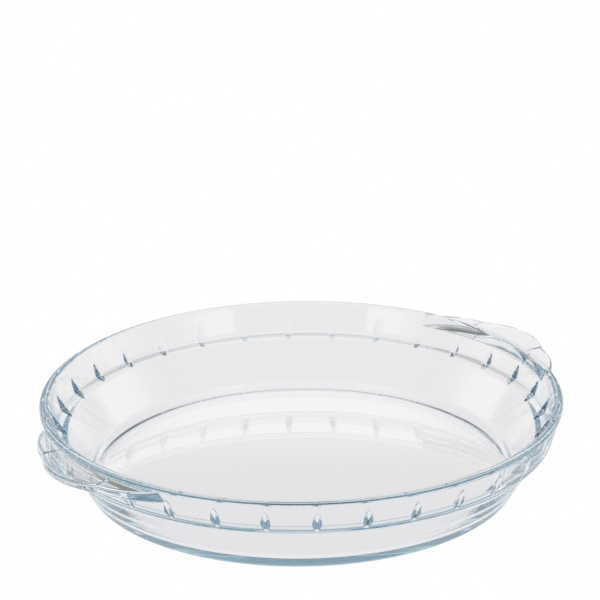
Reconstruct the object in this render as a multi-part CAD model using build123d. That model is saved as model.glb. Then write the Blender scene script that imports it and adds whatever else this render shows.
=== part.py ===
from build123d import *
from math import cos, hypot, radians, sin, tan
import os

# Pressed-glass pie dish: a shallow round dish whose wall has a ledge outside and a matching step
# inside, with a ring of short ribs across the step, a rounded rim and two opposite handles with
# three lobes each. All of it is one piece of glass. Sizes are in millimetres, angles in degrees,
# +Z is up, and the origin is the centre of the rest face. The handles lie along X.

# Rim, wall and floor
rim_radius = 115.0
rim_height = 38.8
rim_top_round = 1.9
rim_crown_width = 0.3
rim_width = 3.9
wall_lean = 17.0
floor_thickness = 4.4
floor_round = 8.0
base_inset = 20.56
floor_corner_inset = 1.24
heel_round = 3.2

# Each round between a flat and the lower wall starts with a small lift from the flat
lift_angle = 18.0
lift_share = 0.46

# Ledge on the outside of the wall
ledge_height = 22.9
ledge_step = 3.6
ledge_underside_rise = 0.9

# Step on the inside of the wall, a little above the ledge
step_top_rise = 3.6
step_top_inset = 7.7
step_width = 4.1
step_drop = 2.4

# Ribs that cross the step, each a ridge with a straight crest
rib_count = 32
rib_rise = 4.9
rib_top_reach = 1.1
rib_bottom_rise = 0.1
rib_depth = 2.6
rib_width = 6.1

# Handles
lobe_reach = 14.3
handle_drop = 1.9
handle_edge_thickness = 3.5
handle_root_thickness = 5.0
handle_edge_round = 1.5
handle_edge_bevel = 0.9
notch_reach = 8.9
notch_angle = 9.5
notch_round = 1.5
side_lobe_reach = 6.8
side_lobe_angle = 15.0
handle_end_angle = 22.3
crease_width = 1.3
crease_depth = 0.5

# How far the handles go into the wall, and how far each cutter goes past the glass
overrun = 2.5


def polar(radius, angle):
    return (radius * cos(radians(angle)), radius * sin(radians(angle)))


def offset(point, distance, angle):
    """A point at a distance from another, at an angle."""
    step = polar(distance, angle)
    return (point[0] + step[0], point[1] + step[1])


def mirrored(point):
    return (point[0], -point[1])


def crossing(first, second):
    """Crossing point of two straight lines of the half section."""
    (x1, z1), (x2, z2) = first
    (x3, z3), (x4, z4) = second
    spread = (x1 - x2) * (z3 - z4) - (z1 - z2) * (x3 - x4)
    one = x1 * z2 - z1 * x2
    two = x3 * z4 - z3 * x4
    x = (one * (x3 - x4) - (x1 - x2) * two) / spread
    z = (one * (z3 - z4) - (z1 - z2) * two) / spread
    return (x, z)


# The rim is an oval: at each face of the wall two arcs of an eighth turn, and a narrow crown between
eighth = 45.0
rim_side_round = (
    rim_width / 2 - rim_crown_width / 2 - rim_top_round * sin(radians(eighth))
) / (1 - cos(radians(eighth)))
rim_side_centre = (
    rim_radius - rim_side_round,
    rim_height
    - rim_top_round
    - (rim_side_round - rim_top_round) * sin(radians(eighth - wall_lean))
    - rim_crown_width * sin(radians(wall_lean)),
)
rim_start = offset(rim_side_centre, rim_side_round, -wall_lean)

# Corners of the outside of the half section, from the rim down
base_radius = rim_radius - base_inset
ledge = (
    rim_start[0] - (rim_start[1] - ledge_height) * tan(radians(wall_lean)),
    ledge_height,
)
ledge_root = (ledge[0] - ledge_step, ledge_height - ledge_underside_rise)
lower_wall = ((base_radius, 0), ledge_root)
rest_edge = (base_radius - heel_round * lift_share, 0)
heel = crossing((rest_edge, offset(rest_edge, heel_round, lift_angle)), lower_wall)

# Corners of the inside, from the step down
step_top = (rim_radius - step_top_inset, ledge_height + step_top_rise)
step_foot = (step_top[0] - step_width, step_top[1] - step_drop)
floor_corner = (base_radius - floor_corner_inset, floor_thickness)
inside_wall = (floor_corner, step_foot)
floor_edge = (floor_corner[0] - floor_round * lift_share, floor_thickness)
floor_lift = (floor_edge, offset(floor_edge, floor_round, lift_angle))
inside_heel = crossing(floor_lift, inside_wall)

# Ends of the crest of each rib
rib_top = (step_top[0] + rib_top_reach, step_top[1] + rib_rise)
rib_bottom = (step_foot[0], step_foot[1] + rib_bottom_rise)


def bowl():
    """Floor, heel, wall, ledge, step and rim, turned about the axis."""
    outside = [(0, 0), rest_edge, heel, ledge_root, ledge, rim_start]
    inside = [step_top, step_foot, inside_heel, floor_edge, (0, floor_thickness)]
    with BuildPart() as turned:
        with BuildSketch(Plane.XZ):
            with BuildLine():
                FilletPolyline(outside, radius=[0, heel_round, 0, 0])
                outer = JernArc(rim_start, polar(1, 90 - wall_lean), rim_side_round, eighth)
                outer_top = JernArc(outer @ 1, outer % 1, rim_top_round, eighth)
                crown = Line(outer_top @ 1, outer_top @ 1 + outer_top % 1 * rim_crown_width)
                inner_top = JernArc(crown @ 1, crown % 1, rim_top_round, eighth)
                inner = JernArc(inner_top @ 1, inner_top % 1, rim_side_round, eighth)
                FilletPolyline([inner @ 1] + inside, radius=[0, 0, floor_round, 0])
                Line((0, floor_thickness), (0, 0))
            make_face()
        revolve(axis=Axis.Z)
    return turned.part


def ribs():
    """Ridges across the step, with their crests from above the step to its foot."""
    length = hypot(rib_top[0] - rib_bottom[0], rib_top[1] - rib_bottom[1])
    crest_x = (rib_top[0] - rib_bottom[0]) / length
    crest_z = (rib_top[1] - rib_bottom[1]) / length
    across_crest = Plane(
        origin=(rib_bottom[0], 0, rib_bottom[1]),
        x_dir=(crest_z, 0, -crest_x),
        z_dir=(crest_x, 0, crest_z),
    )
    with BuildPart() as ridge:
        with BuildSketch(across_crest):
            Polygon(
                (0, 0),
                (rib_depth, -rib_width / 2),
                (rib_depth, rib_width / 2),
                align=None,
            )
        extrude(amount=length)
    return [ridge.part.rotate(Axis.Z, 360 * index / rib_count) for index in range(rib_count)]


def lobed_plan():
    """Plan of one handle along +X: a wide middle lobe and a narrower lobe each side."""
    tip = (rim_radius + lobe_reach, 0)
    notch = polar(rim_radius + notch_reach, notch_angle)
    side = polar(rim_radius + side_lobe_reach, side_lobe_angle)
    end = polar(rim_radius, handle_end_angle)
    root = polar(rim_radius - overrun, handle_end_angle)
    root_middle = (rim_radius - overrun, 0)
    with BuildSketch() as plan:
        with BuildLine():
            ThreePointArc(mirrored(notch), tip, notch)
            ThreePointArc(notch, side, end)
            Line(end, root)
            ThreePointArc(root, root_middle, mirrored(root))
            Line(mirrored(root), mirrored(end))
            ThreePointArc(mirrored(end), mirrored(side), mirrored(notch))
        make_face()
        fillet(plan.vertices().sort_by(lambda v: abs(v.X - notch[0]))[:2], notch_round)
    return plan.sketch


def lobe_edges(face):
    """Edges of a handle's upper or lower face that lie along its lobes, outside the rim."""
    middles = [(edge, edge.center()) for edge in face.edges()]
    return [edge for edge, middle in middles if hypot(middle.X, middle.Y) > rim_radius]


def handle():
    """One handle along +X: flat on top, thicker towards its root, with a rounded edge."""
    top = rim_height - handle_drop
    tip_radius = rim_radius + lobe_reach
    root_radius = rim_radius - overrun
    with BuildPart() as plate:
        with BuildSketch(Plane.XZ.rotated((0, 0, -handle_end_angle))):
            with BuildLine():
                Polyline(
                    (root_radius, top),
                    (tip_radius, top),
                    (tip_radius, top - handle_edge_thickness),
                    (root_radius, top - handle_root_thickness),
                    close=True,
                )
            make_face()
        revolve(axis=Axis.Z, revolution_arc=2 * handle_end_angle)
        extrude(lobed_plan(), amount=rim_height, mode=Mode.INTERSECT)
        upper_face = plate.faces().sort_by(Axis.Z)[-1]
        fillet(lobe_edges(upper_face), handle_edge_round)
        lower_face = plate.faces().sort_by(Axis.Z)[0]
        chamfer(lobe_edges(lower_face), handle_edge_bevel)
    return plate.part


def creases():
    """V-shaped cutters that lie in the top of the handle, from each notch to the rim."""
    top = rim_height - handle_drop
    with BuildPart() as wedge:
        with BuildSketch(Plane.YZ.offset(rim_radius)):
            Polygon(
                (-crease_width / 2, top),
                (0, top - crease_depth),
                (crease_width / 2, top),
                align=None,
            )
        extrude(amount=lobe_reach)
    return [wedge.part.rotate(Axis.Z, side) for side in (notch_angle, -notch_angle)]


right_handle = handle() - creases()
left_handle = right_handle.rotate(Axis.Z, 180)
glass_dish = bowl() + ribs() + right_handle + left_handle

os.makedirs("parts", exist_ok=True)
export_step(glass_dish, "parts/glass_dish.step")
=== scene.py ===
from math import atan2, cos, degrees, hypot, pi, radians, sin, tan

import bmesh
import bpy
import numpy as np
from mathutils import Matrix, Vector

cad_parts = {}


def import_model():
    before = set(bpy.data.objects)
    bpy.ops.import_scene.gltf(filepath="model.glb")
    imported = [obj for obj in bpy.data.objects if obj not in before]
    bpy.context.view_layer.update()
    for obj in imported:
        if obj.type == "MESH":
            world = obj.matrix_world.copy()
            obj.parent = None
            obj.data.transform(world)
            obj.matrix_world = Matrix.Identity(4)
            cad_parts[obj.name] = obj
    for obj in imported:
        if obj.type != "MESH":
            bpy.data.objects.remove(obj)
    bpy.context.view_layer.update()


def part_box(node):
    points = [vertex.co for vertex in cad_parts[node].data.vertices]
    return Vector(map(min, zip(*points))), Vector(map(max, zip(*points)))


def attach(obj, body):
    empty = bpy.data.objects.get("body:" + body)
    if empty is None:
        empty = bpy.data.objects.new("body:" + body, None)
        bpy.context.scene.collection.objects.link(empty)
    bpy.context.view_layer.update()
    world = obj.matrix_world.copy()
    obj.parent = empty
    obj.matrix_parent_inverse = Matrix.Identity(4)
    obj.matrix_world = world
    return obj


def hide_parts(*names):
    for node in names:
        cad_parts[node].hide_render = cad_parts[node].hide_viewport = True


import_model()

# Clear pressed-glass pie dish on a white floor in a plain pale room. Sizes are in millimetres and
# angles in degrees, unless a name or comment says otherwise. A section of the dish is an outline of
# radius against height. The mesh has one copy of it at each azimuth about the vertical axis, and the
# handles and ribs push its points in or out.
MM = 0.001
dish_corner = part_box("glass_dish")[1]
rim_radius = dish_corner[1] / MM
rim_height = dish_corner[2] / MM
handle_reach = dish_corner[0] / MM

# Section of the bowl
rim_width = 3.9
wall_lean = 17.0
floor_thickness = 4.4
floor_round = 8.0
base_radius = 94.44
heel_round = 3.2
rim_top_round = 1.9
rim_crown_width = 0.3
ledge_height = 22.9
ledge_step = 3.6
ledge_underside_rise = 0.9
ledge_root_round = 2.0
ledge_edge_round = 1.3
step_top = (107.3, 26.5)
step_foot = (103.2, 23.8)
inside_wall_foot = (91.0, 4.4)
step_top_round = 2.0
step_foot_round = 3.0

# Ribs inside the wall
rib_count = 32
rib_top = (108.4, 31.4)
rib_bottom = (103.2, 24.2)
rib_round = 1.9
rib_root_blend = 0.25

# Handles
handle_drop = 1.9
handle_edge_thickness = 3.5
handle_root_thickness = 5.0
handle_edge_round = 1.5
handle_root_round = 1.2
rim_crease_round = 0.5
notch_reach = 8.9
notch_angle = 9.5
notch_blend = 0.35
side_lobe_reach = 6.8
side_lobe_angle = 15.0
side_lobe_start_share = 0.6
handle_end_angle = 22.3
handle_zone_angle = 29.5
crease_width = 1.3
crease_depth = 0.45
crease_fade_start = 0.6
crease_fade_length = 0.8

# Points of the section: spacing along it, a finer spacing where the ribs cross the step, and guard
# points close to the ends of each round, which keep the flats beside it flat
outside_spacing = 1.2
inside_spacing = 1.6
rib_zone_spacing = 0.25
rib_zone_inner_radius = 98.0
rib_zone_heights = (22.0, 34.0)
rib_reach_heights = (15.0, 36.0)
round_step = 4.0
fewest_round_points = 5
guard = 0.02
flat_start_share = 1.5
floor_rows = 8
floor_stride = 8
rim_arc_points = (7, 9, 9, 8)
merge_distance = 0.002

# Rows of the handle zone, from the wall below the handles to the side of the rim
handle_foot_height = 30.65
edge_wall_height = 32.0
edge_clearance = 0.01
root_reach = 2.5
foot_rows = 3
root_rows = 8
underside_rows = 12
lower_edge_rows = 9
side_rows = 2
upper_edge_rows = 10
top_rows = 14
crease_rows = 7
rim_rows = 5

# Azimuths of the mesh: fine at each rib, each handle and each notch, coarser between the ribs
rib_half_angle = 1.6
rib_angle_step = 0.1
rib_gap_margin = 2.2
rib_gap_columns = 8
handle_half_angle = 29.8
handle_angle_step = 0.4
notch_half_angle = 1.0
notch_angle_step = 0.1
least_turn = 0.06

# Glass. The tint and its density per metre make long paths through the glass steel blue.
glass_ior = 1.47
glass_tint = (0.194, 0.564, 0.736, 1)
glass_tint_density = 5.6
glass_shadow = (0.9, 0.92, 0.93, 1)

# Camera. It looks at a point above the dish, so that the dish stands low in the picture.
camera_azimuth = -36.91
camera_elevation = 21.24
camera_distance = 1471.83
camera_lens = 203.068
camera_sensor_width = 36.0
camera_far_end = 20000.0
camera_target_height = 83.29
camera_side_step = -0.048
camera_roll = 0.011

# White floor just under the dish. The glass shows it a little darker.
floor_size = 6000.0
floor_gap = 0.2
floor_level = 0.87
floor_tint = (1.0, 0.978, 0.99, 1)
floor_colour = (0.8, 0.8, 0.8, 1)
white = (1, 1, 1, 1)

# Studio room, which is the only light: pale low down, darker walls and a large soft light overhead.
# Angles to the side count from the camera's side of the room, and run both ways round.
room_level_away = 0.26
room_level_near = 0.55
room_near_angle = 60.0
room_away_angle = 135.0
horizon_level = 0.9
horizon_top = 3.0
horizon_fade = 9.0
overhead_level = 0.75
overhead_foot = 48.0
overhead_full = 66.0

# Soft panels of the room: two pairs at the sides, and two that lie over each other behind the dish
panels = (
    dict(level=1.3, sides=(31.0, 52.0), side_fades=(1.5, 12.0), ends=(3.0, 23.0), end_fades=(5.0, 5.0)),
    dict(level=1.3, sides=(86.0, 121.0), side_fades=(14.0, 3.0), ends=(3.0, 25.0), end_fades=(5.0, 5.0)),
    dict(level=0.85, sides=(125.0, 190.0), side_fades=(15.0, 1.0), ends=(15.0, 23.5), end_fades=(4.0, 0.9)),
    dict(level=0.38, sides=(125.0, 190.0), side_fades=(15.0, 1.0), ends=(10.0, 31.0), end_fades=(6.0, 3.0)),
)

# A ray may meet the glass this many times
light_bounces = 40


def polar(radius, angle):
    return np.array((radius * cos(radians(angle)), radius * sin(radians(angle))))


def crossing(first, second):
    """Crossing point of two straight lines."""
    (x1, z1), (x2, z2) = first
    (x3, z3), (x4, z4) = second
    spread = (x1 - x2) * (z3 - z4) - (z1 - z2) * (x3 - x4)
    one = x1 * z2 - z1 * x2
    two = x3 * z4 - z3 * x4
    x = (one * (x3 - x4) - (x1 - x2) * two) / spread
    z = (one * (z3 - z4) - (z1 - z2) * two) / spread
    return np.array((x, z))


def arc(centre, radius, first, last, count):
    """Points along an arc from one angle to another."""
    angles = np.radians(np.linspace(first, last, count))
    return np.array(centre) + radius * np.stack((np.cos(angles), np.sin(angles)), 1)


def fill(start, end, spacing):
    """Points between two others, no further apart than the spacing."""
    start, end = np.array(start, float), np.array(end, float)
    steps = int(np.linalg.norm(end - start) / spacing)
    return [start + (end - start) * step / (steps + 1) for step in range(1, steps + 1)]


def round_points(before, corner, after, radius):
    """Points of the round at one corner, with a guard point at each end."""
    to_before, to_after = before - corner, after - corner
    to_before /= np.linalg.norm(to_before)
    to_after /= np.linalg.norm(to_after)
    turn = pi - np.arccos(np.clip(to_before @ to_after, -1, 1))
    reach = radius * tan(turn / 2)
    start = corner + to_before * reach
    end = corner + to_after * reach
    bisector = to_before + to_after
    bisector /= np.linalg.norm(bisector)
    centre = corner + bisector * radius / cos(turn / 2)
    first = atan2(*(start - centre)[::-1])
    last = atan2(*(end - centre)[::-1])
    swing = (last - first + pi) % (2 * pi) - pi
    count = max(fewest_round_points, int(round(degrees(abs(swing)) / round_step)))
    angles = first + swing * np.linspace(0, 1, count)
    stretch = list(centre + radius * np.stack((np.cos(angles), np.sin(angles)), 1))
    return [start + to_before * guard] + stretch + [end + to_after * guard]


def rounded(corners, spacing):
    """Points along a line with rounded corners. Each corner is (point, radius)."""
    places = [np.array(point, float) for point, radius in corners]
    points = [places[0]]
    for index in range(1, len(corners) - 1):
        radius = corners[index][1]
        stretch = [places[index]]
        if radius > 0:
            stretch = round_points(*places[index - 1 : index + 2], radius)
        points += fill(points[-1], stretch[0], spacing) + stretch
    points += fill(points[-1], places[-1], spacing) + [places[-1]]
    return np.array(points)


# The rim is an oval: at each face of the wall two arcs of an eighth turn, and a narrow crown between
eighth = 45.0
rim_side_round = (
    rim_width / 2 - rim_crown_width / 2 - rim_top_round * sin(radians(eighth))
) / (1 - cos(radians(eighth)))
side_centre = np.array(
    (
        rim_radius - rim_side_round,
        rim_height
        - rim_top_round
        - (rim_side_round - rim_top_round) * sin(radians(eighth - wall_lean))
        - rim_crown_width * sin(radians(wall_lean)),
    )
)
top_centre = side_centre + polar(rim_side_round - rim_top_round, eighth - wall_lean)
rim_start = side_centre + polar(rim_side_round, -wall_lean)
across_wall = polar(1, 180 - wall_lean)
inner_top_centre = top_centre + across_wall * rim_crown_width
rim_end = rim_start + across_wall * rim_width
inner_side_centre = rim_end - polar(rim_side_round, 180 - wall_lean)

# Corners of the ledge and of the floor
ledge = np.array(
    (rim_start[0] - (rim_start[1] - ledge_height) * tan(radians(wall_lean)), ledge_height)
)
ledge_root = np.array((ledge[0] - ledge_step, ledge_height - ledge_underside_rise))
floor_corner = crossing(
    ((0, floor_thickness), (1, floor_thickness)), (step_foot, inside_wall_foot)
)

# The underside of the handles slopes down from their edge to the wall
handle_top = rim_height - handle_drop
underside_at_rim = handle_top - handle_root_thickness
underside_slope = (handle_root_thickness - handle_edge_thickness) / (handle_reach - rim_radius)


def wall_radius(height):
    """Radius of the outside of the upper wall and of the side of the rim at a height."""
    line = ledge[0] + (height - ledge[1]) * tan(radians(wall_lean))
    rise = np.clip((height - side_centre[1]) / rim_side_round, -1, 1)
    rim = side_centre[0] + rim_side_round * np.sqrt(1 - rise**2)
    return np.where(height < rim_start[1], line, rim)


def lower_outside():
    """Section from the axis under the floor to the wall below the handles."""
    corners = [
        ((0, 0), 0),
        ((base_radius, 0), heel_round),
        (ledge_root, ledge_root_round),
        (ledge, ledge_edge_round),
        ((wall_radius(handle_foot_height), handle_foot_height), 0),
    ]
    points = rounded(corners, outside_spacing)
    flat = points[:, 0] < base_radius - heel_round * flat_start_share
    floor, wall = points[flat], points[~flat]
    return np.concatenate((floor[:: max(1, len(floor) // floor_rows)], wall))


def rim_arcs(start_height):
    """Section of the rim, from a height on its outside to its end inside."""
    first = degrees(np.arcsin((start_height - side_centre[1]) / rim_side_round))
    turns = [first] + [eighth * share - wall_lean for share in (1, 2, 3, 4)]
    outer, outer_top, inner_top, inner = rim_arc_points
    parts = [
        arc(side_centre, rim_side_round, turns[0], turns[1], outer)[:-1],
        arc(top_centre, rim_top_round, turns[1], turns[2], outer_top),
        arc(inner_top_centre, rim_top_round, turns[2], turns[3], inner_top)[:-1],
        arc(inner_side_centre, rim_side_round, turns[3], turns[4], inner),
    ]
    return np.concatenate(parts)


def inside():
    """Section of the inside, from the end of the rim to the middle of the floor."""
    corners = [
        (rim_end, 0),
        (step_top, step_top_round),
        (step_foot, step_foot_round),
        (floor_corner, floor_round),
        ((0, floor_thickness), 0),
    ]
    points = rounded(corners, inside_spacing)[1:]
    lowest, highest = rib_zone_heights
    dense = []
    for start, end in zip(points, points[1:]):
        dense.append(start)
        if lowest < start[1] < highest and start[0] > rib_zone_inner_radius:
            dense += fill(start, end, rib_zone_spacing)
    points = np.array(dense + [points[-1]])
    flat = points[:, 0] < floor_corner[0] - floor_round
    wall, floor = points[~flat], points[flat]
    return np.concatenate((wall, floor[::floor_stride], floor[-1:]))


def with_ribs(angle, radii, heights):
    """Moves the inside of the wall in to the half-round ribs that cross its step."""
    top, bottom = np.array(rib_top), np.array(rib_bottom)
    along = (top - bottom) / np.linalg.norm(top - bottom)
    proud = np.array((-along[1], along[0]))
    offset_r, offset_z = radii - bottom[0], heights - bottom[1]
    step = 2 * pi / rib_count
    turn = (angle + step / 2) % step - step / 2
    sideways = radii * np.sin(turn)
    up_the_rib = offset_r * along[0] + offset_z * along[1]
    above_crest = offset_r * proud[0] + offset_z * proud[1]
    past_foot = np.maximum(0, -up_the_rib)
    fall = rib_round**2 - sideways**2 - past_foot**2
    surface = np.where(fall > 0, np.sqrt(np.maximum(fall, 0)) - rib_round, -2 * rib_round)
    over = surface - above_crest
    blend = np.maximum(0, rib_root_blend - np.abs(over)) ** 2 / (4 * rib_root_blend)
    lowest, highest = rib_reach_heights
    lift = np.where((heights > lowest) & (heights < highest), np.maximum(over, 0) + blend, 0)
    return radii + lift * proud[0], heights + lift * proud[1]


def circle_through(first, second, third):
    """Centre and radius of the circle through three points."""
    (ax, ay), (bx, by), (cx, cy) = first, second, third
    d = 2 * (ax * (by - cy) + bx * (cy - ay) + cx * (ay - by))
    a2, b2, c2 = ax * ax + ay * ay, bx * bx + by * by, cx * cx + cy * cy
    ux = (a2 * (by - cy) + b2 * (cy - ay) + c2 * (ay - by)) / d
    uy = (a2 * (cx - bx) + b2 * (ax - cx) + c2 * (bx - ax)) / d
    return ux, uy, hypot(ax - ux, ay - uy)


def reach_of_circle(circle, angle):
    """Distance from the axis of the dish to the far side of a circle, or 0 where it misses."""
    ux, uy, size = circle
    along = ux * np.cos(angle) + uy * np.sin(angle)
    square = along**2 - (ux * ux + uy * uy - size * size)
    return np.where(square > 0, along + np.sqrt(np.maximum(square, 0)), 0)


def lobes(angle):
    """Radius of the outline of a handle at angles from its axis, in radians."""
    notch = polar(rim_radius + notch_reach, notch_angle)
    side = polar(rim_radius + side_lobe_reach, side_lobe_angle)
    end = polar(rim_radius, handle_end_angle)
    middle_lobe = circle_through((notch[0], -notch[1]), (handle_reach, 0), notch)
    side_lobe = circle_through(notch, side, end)
    first = reach_of_circle(middle_lobe, angle)
    past_start = angle > radians(notch_angle) * side_lobe_start_share
    second = np.where(past_start, reach_of_circle(side_lobe, angle), 0)
    return (first + second + np.sqrt((first - second) ** 2 + notch_blend**2)) / 2


def spread(half_angle, step):
    """Angles from minus to plus a half angle, a step apart. A little more keeps the last one in."""
    return np.arange(-half_angle, half_angle + step / 100, step)


def azimuths():
    """Azimuths of the mesh, in radians."""
    step = 2 * pi / rib_count
    rib = spread(rib_half_angle, rib_angle_step)
    gap = np.linspace(rib_gap_margin, degrees(step) - rib_gap_margin, rib_gap_columns)
    local = np.concatenate((rib, gap))
    angles = [radians(place) + index * step for index in range(rib_count) for place in local]
    near = np.radians(spread(handle_half_angle, handle_angle_step))
    notch = np.radians(spread(notch_half_angle, notch_angle_step))
    for handle in (0, pi):
        angles += list(near + handle)
        angles += list(notch + handle + radians(notch_angle))
        angles += list(notch + handle - radians(notch_angle))
    angles = np.sort(np.array(angles) % (2 * pi))
    keep = [angles[0]]
    for angle in angles[1:]:
        if angle - keep[-1] > radians(least_turn):
            keep.append(angle)
    return np.array(keep)


def spaced(start, end, count):
    """Evenly spaced rows from start towards end, without end."""
    shares = np.linspace(0, 1, count, endpoint=False)
    return start[:, None] + (end - start)[:, None] * shares[None]


def eased(start, end, count, closing):
    """The same, but closer together near end if closing, or else near start."""
    turn = np.linspace(0, pi / 2, count, endpoint=False)
    shares = np.sin(turn) if closing else 1 - np.cos(turn)
    return start[:, None] + (end - start)[:, None] * shares[None]


def underside(radius):
    """Height of the underside of a handle at a radius."""
    return underside_at_rim + (radius - rim_radius) * underside_slope


def underside_radius(height):
    """Radius of the underside of a handle at a height, with a round into the wall."""
    straight = rim_radius + (height - underside_at_rim) / underside_slope
    wall = wall_radius(height)
    gap = straight - wall
    return wall + (gap + np.sqrt(gap**2 + handle_root_round**2)) / 2


def edge_radius(height, reach, edge_low):
    """Radius of the rounded edge of a handle at a height."""
    edge = handle_edge_round
    down = np.clip((edge_low + edge - height) / edge, 0, 1)
    up = np.clip((height - (handle_top - edge)) / edge, 0, 1)
    return reach - edge + edge * np.sqrt(1 - np.maximum(down, up) ** 2)


def crease_cut(folded, radii):
    """Depth of the V-shaped crease from each notch to the rim."""
    aside = np.abs(folded - radians(notch_angle))[:, None] * radii
    return np.clip(1 - aside / (crease_width / 2), 0, 1) * crease_depth


def handle_side(folded, reach, has_handle):
    """Rows from the wall below a handle, along its underside and round its edge to its top."""
    edge = handle_edge_round
    level = np.ones_like(reach)
    limit = wall_radius(np.full_like(reach, edge_wall_height)) + edge_clearance
    edge_low = underside(np.maximum(reach - edge, limit))
    root = (underside_at_rim - handle_root_round) * level
    root_end = underside(wall_radius(np.array(edge_wall_height)) + root_reach)
    root_end = np.minimum(root_end, edge_low)
    edge_high = (handle_top - edge) * level
    parts = (
        spaced(handle_foot_height * level, root, foot_rows),
        spaced(root, root_end, root_rows),
        spaced(root_end, edge_low, underside_rows),
        eased(edge_low, edge_low + edge, lower_edge_rows, False),
        spaced(edge_low + edge, edge_high, side_rows),
        eased(edge_high, handle_top * level, upper_edge_rows, True),
        handle_top * level[:, None],
    )
    heights = np.concatenate(parts, 1)
    wall = wall_radius(heights)
    with_edge = np.stack([edge_radius(row, reach, edge_low) for row in heights.T], 1)
    radii = np.maximum(wall, np.minimum(underside_radius(heights), with_edge))
    radii = np.where(has_handle[:, None], radii, wall)
    share = (heights - (handle_top - edge)) / edge
    creased = heights - crease_cut(folded, radii) * share
    return radii, np.where((share > 0) & has_handle[:, None], creased, heights)


def handle_surface(folded, start):
    """Rows across the top of a handle, round into the rim and up its side to one height."""
    side = float(wall_radius(np.array(handle_top)))
    room = np.maximum(start - side, 0)
    crease = np.minimum(rim_crease_round, room / 2)
    corner = side + crease
    across = np.linspace(0, 1, top_rows)[None, 1:]
    top_radii = start[:, None] + (corner - start)[:, None] * across
    fade = np.clip((top_radii - side - crease_fade_start) / crease_fade_length, 0, 1)
    top_heights = handle_top - crease_cut(folded, top_radii) * fade
    quarter = np.linspace(0, pi / 2, crease_rows)[None, 1:]
    round_radii = corner[:, None] - crease[:, None] * np.sin(quarter)
    round_heights = handle_top + crease[:, None] * (1 - np.cos(quarter))
    last = handle_top + rim_crease_round
    rise = np.linspace(0, 1, rim_rows)[None, 1:]
    rim_heights = round_heights[:, -1:] + (last - round_heights[:, -1:]) * rise
    radii = np.concatenate((top_radii, round_radii, wall_radius(rim_heights)), 1)
    return radii, np.concatenate((top_heights, round_heights, rim_heights), 1)


def handle_zone(angle):
    """Rows of points from below the handles to the side of the rim, for every azimuth."""
    folded = np.abs((angle + pi / 2) % pi - pi / 2)
    has_handle = folded < radians(handle_zone_angle)
    reach = np.where(has_handle, lobes(folded), 0)
    side_radii, side_heights = handle_side(folded, reach, has_handle)
    top_radii, top_heights = handle_surface(folded, side_radii[:, -1])
    radii = np.concatenate((side_radii, top_radii), 1)
    return radii, np.concatenate((side_heights, top_heights), 1)


def dish_faces(count, rows):
    """Quads between neighbouring sections, and a fan at each end of the section."""
    index = np.arange(count * rows).reshape(count, rows)
    after = np.roll(index, -1, 0)
    quads = np.stack((index[:, :-1], after[:, :-1], after[:, 1:], index[:, 1:]), 2).reshape(-1, 4)
    base, floor = count * rows, count * rows + 1
    fans = [(base, int(after[i, 0]), int(index[i, 0])) for i in range(count)]
    fans += [(floor, int(index[i, -1]), int(after[i, -1])) for i in range(count)]
    return quads.tolist() + fans


def dish_mesh():
    """Mesh of the whole dish, with one section at each azimuth."""
    angle = azimuths()
    zone_radii, zone_heights = handle_zone(angle)
    below = np.repeat(lower_outside()[None], len(angle), 0)
    section = np.concatenate((rim_arcs(handle_top + rim_crease_round)[1:], inside()))
    others = np.repeat(section[None], len(angle), 0)
    other_radii, other_heights = with_ribs(angle[:, None], others[..., 0], others[..., 1])
    radii = np.concatenate((below[:, 1:, 0], zone_radii[:, 1:], other_radii[:, :-1]), 1)
    heights = np.concatenate((below[:, 1:, 1], zone_heights[:, 1:], other_heights[:, :-1]), 1)
    x = radii * np.cos(angle)[:, None]
    y = radii * np.sin(angle)[:, None]
    grid = np.stack((x, y, heights), 2).reshape(-1, 3)
    ends = np.array(((0, 0, 0), (0, 0, floor_thickness)))
    vertices = np.concatenate((grid, ends)) * MM
    mesh = bpy.data.meshes.new("glass_body")
    mesh.from_pydata(vertices.tolist(), [], dish_faces(*radii.shape))
    mesh.update()
    return mesh


def glass_body():
    """The dish as one closed, smooth piece."""
    piece = bpy.data.objects.new("glass_body", dish_mesh())
    bpy.context.scene.collection.objects.link(piece)
    work = bmesh.new()
    work.from_mesh(piece.data)
    bmesh.ops.remove_doubles(work, verts=work.verts, dist=merge_distance * MM)
    bmesh.ops.recalc_face_normals(work, faces=work.faces)
    work.to_mesh(piece.data)
    work.free()
    piece.data.shade_smooth()
    return piece


def glass_material():
    """Clear glass that lets the light of the room through to the floor."""
    material = bpy.data.materials.new("clear_glass")
    material.use_nodes = True
    nodes, links = material.node_tree.nodes, material.node_tree.links
    nodes.clear()
    output = nodes.new("ShaderNodeOutputMaterial")
    glass = nodes.new("ShaderNodeBsdfGlass")
    glass.inputs["IOR"].default_value = glass_ior
    glass.inputs["Roughness"].default_value = 0.0
    glass.inputs["Color"].default_value = white
    clear = nodes.new("ShaderNodeBsdfTransparent")
    clear.inputs["Color"].default_value = glass_shadow
    path = nodes.new("ShaderNodeLightPath")
    mix = nodes.new("ShaderNodeMixShader")
    links.new(path.outputs["Is Shadow Ray"], mix.inputs[0])
    links.new(glass.outputs[0], mix.inputs[1])
    links.new(clear.outputs[0], mix.inputs[2])
    links.new(mix.outputs[0], output.inputs["Surface"])
    volume = nodes.new("ShaderNodeVolumeAbsorption")
    volume.inputs["Color"].default_value = glass_tint
    volume.inputs["Density"].default_value = glass_tint_density
    links.new(volume.outputs[0], output.inputs["Volume"])
    return material


def joined(tree, operation, *values):
    """Output of a maths node fed with numbers or with outputs of other nodes."""
    node = tree.nodes.new("ShaderNodeMath")
    node.operation = operation
    for socket, value in zip(node.inputs, values):
        if isinstance(value, (int, float)):
            socket.default_value = value
        else:
            tree.links.new(value, socket)
    return node.outputs[0]


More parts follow.
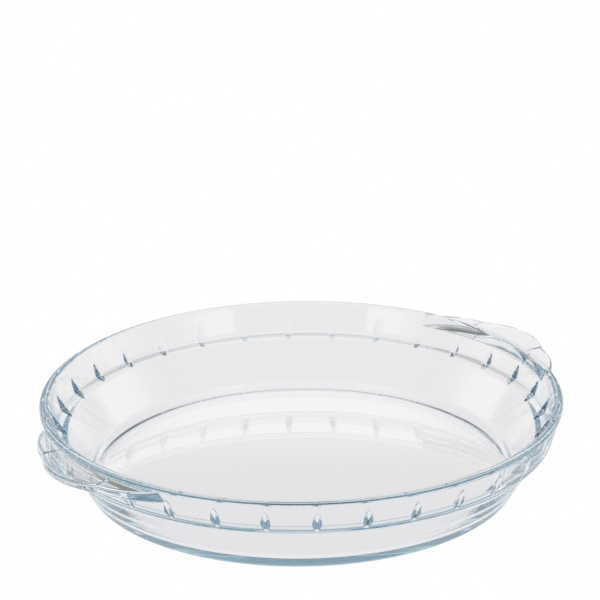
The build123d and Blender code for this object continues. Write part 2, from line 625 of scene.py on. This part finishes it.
def smooth_step(tree, value, start, end, low=0.0, high=1.0):
    """Goes from low to high while the value goes from start to end."""
    node = tree.nodes.new("ShaderNodeMapRange")
    node.interpolation_type = "SMOOTHSTEP"
    tree.links.new(value, node.inputs["Value"])
    node.inputs["From Min"].default_value = start
    node.inputs["From Max"].default_value = end
    node.inputs["To Min"].default_value = low
    node.inputs["To Max"].default_value = high
    return node.outputs["Result"]


def floor_material():
    """White to the camera, a little darker in the glass, and a plain floor to all other light."""
    material = bpy.data.materials.new("white_floor")
    material.use_nodes = True
    tree = material.node_tree
    tree.nodes.clear()
    output = tree.nodes.new("ShaderNodeOutputMaterial")
    diffuse = tree.nodes.new("ShaderNodeBsdfDiffuse")
    diffuse.inputs["Color"].default_value = floor_colour
    path = tree.nodes.new("ShaderNodeLightPath")
    camera_ray = path.outputs["Is Camera Ray"]
    tint = tree.nodes.new("ShaderNodeMix")
    tint.data_type = "RGBA"
    tint.inputs["A"].default_value = floor_tint
    tint.inputs["B"].default_value = white
    tree.links.new(camera_ray, tint.inputs["Factor"])
    seen = tree.nodes.new("ShaderNodeEmission")
    tree.links.new(tint.outputs["Result"], seen.inputs["Color"])
    tree.links.new(joined(tree, "MAXIMUM", floor_level, camera_ray), seen.inputs["Strength"])
    direct = joined(tree, "MAXIMUM", camera_ray, path.outputs["Is Glossy Ray"])
    direct = joined(tree, "MAXIMUM", direct, path.outputs["Is Transmission Ray"])
    mix = tree.nodes.new("ShaderNodeMixShader")
    tree.links.new(direct, mix.inputs[0])
    tree.links.new(diffuse.outputs[0], mix.inputs[1])
    tree.links.new(seen.outputs[0], mix.inputs[2])
    tree.links.new(mix.outputs[0], output.inputs["Surface"])
    return material


def stage_floor():
    bpy.ops.mesh.primitive_plane_add(size=floor_size * MM, location=(0, 0, -floor_gap * MM))
    floor = bpy.context.object
    floor.name = "floor"
    floor.data.materials.append(floor_material())


def room_angles(tree):
    """Angle to the side from the camera's side of the room, and angle up, of each direction."""
    place = tree.nodes.new("ShaderNodeTexCoord")
    turned = tree.nodes.new("ShaderNodeVectorRotate")
    turned.rotation_type = "Z_AXIS"
    turned.inputs["Angle"].default_value = -radians(camera_azimuth)
    tree.links.new(place.outputs["Generated"], turned.inputs["Vector"])
    axes = tree.nodes.new("ShaderNodeSeparateXYZ")
    tree.links.new(turned.outputs[0], axes.inputs[0])
    right, away, up = axes.outputs
    near = joined(tree, "MULTIPLY", away, -1.0)
    return joined(tree, "ABSOLUTE", joined(tree, "ARCTAN2", right, near)), joined(tree, "ARCSINE", up)


def panel_shape(tree, panel, aside, rise):
    """1 inside a soft panel, 0 outside it, with a fade along each of its sides."""
    shape = 1.0
    for angle, places, fades in ((aside, "sides", "side_fades"), (rise, "ends", "end_fades")):
        (start, end), (start_fade, end_fade) = panel[places], panel[fades]
        opens = smooth_step(tree, angle, radians(start - start_fade), radians(start + start_fade))
        closes = smooth_step(tree, angle, radians(end - end_fade), radians(end + end_fade), 1.0, 0.0)
        shape = joined(tree, "MULTIPLY", shape, joined(tree, "MULTIPLY", opens, closes))
    return shape


def room_light(tree):
    """Brightness of the room in each direction."""
    aside, rise = room_angles(tree)
    near, far = radians(room_near_angle), radians(room_away_angle)
    light = smooth_step(tree, aside, near, far, room_level_near, room_level_away)
    horizon = smooth_step(tree, rise, radians(horizon_top), radians(horizon_fade), 1.0, 0.0)
    light = joined(tree, "MAXIMUM", light, joined(tree, "MULTIPLY", horizon, horizon_level))
    foot, full = radians(overhead_foot), radians(overhead_full)
    light = joined(tree, "ADD", light, smooth_step(tree, rise, foot, full, 0.0, overhead_level))
    for panel in panels:
        glow = joined(tree, "MULTIPLY", panel_shape(tree, panel, aside, rise), panel["level"])
        light = joined(tree, "ADD", light, glow)
    return light


def world():
    """White to the camera, and the room to all other light."""
    scene = bpy.context.scene
    scene.world = bpy.data.worlds.new("studio")
    scene.world.use_nodes = True
    tree = scene.world.node_tree
    tree.nodes.clear()
    output = tree.nodes.new("ShaderNodeOutputWorld")
    background = tree.nodes.new("ShaderNodeBackground")
    camera_ray = tree.nodes.new("ShaderNodeLightPath").outputs["Is Camera Ray"]
    other_rays = joined(tree, "SUBTRACT", 1.0, camera_ray)
    room = joined(tree, "MULTIPLY", room_light(tree), other_rays)
    tree.links.new(joined(tree, "ADD", room, camera_ray), background.inputs["Strength"])
    tree.links.new(background.outputs[0], output.inputs["Surface"])


def camera():
    azimuth, elevation = radians(camera_azimuth), radians(camera_elevation)
    level = cos(elevation)
    back = Vector((sin(azimuth) * level, -cos(azimuth) * level, sin(elevation)))
    right = Vector((cos(azimuth), sin(azimuth), 0))
    up = back.cross(right)
    turned_right = right * cos(camera_roll) - up * sin(camera_roll)
    turned_up = up * cos(camera_roll) + right * sin(camera_roll)
    target = Vector((0, 0, camera_target_height)) + right * camera_side_step
    data = bpy.data.cameras.new("camera")
    data.lens = camera_lens
    data.sensor_width = camera_sensor_width
    data.clip_end = camera_far_end * MM
    view = bpy.data.objects.new("camera", data)
    bpy.context.scene.collection.objects.link(view)
    axes = Matrix((turned_right, turned_up, back)).transposed()
    view.matrix_world = Matrix.Translation((target + back * camera_distance) * MM) @ axes.to_4x4()
    bpy.context.scene.camera = view


def render_settings():
    scene = bpy.context.scene
    scene.cycles.max_bounces = light_bounces
    scene.cycles.glossy_bounces = light_bounces
    scene.cycles.transmission_bounces = light_bounces
    scene.view_settings.view_transform = "Standard"


body = glass_body()
body.data.materials.append(glass_material())
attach(body, "root")
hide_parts("glass_dish")
stage_floor()
world()
camera()
render_settings()
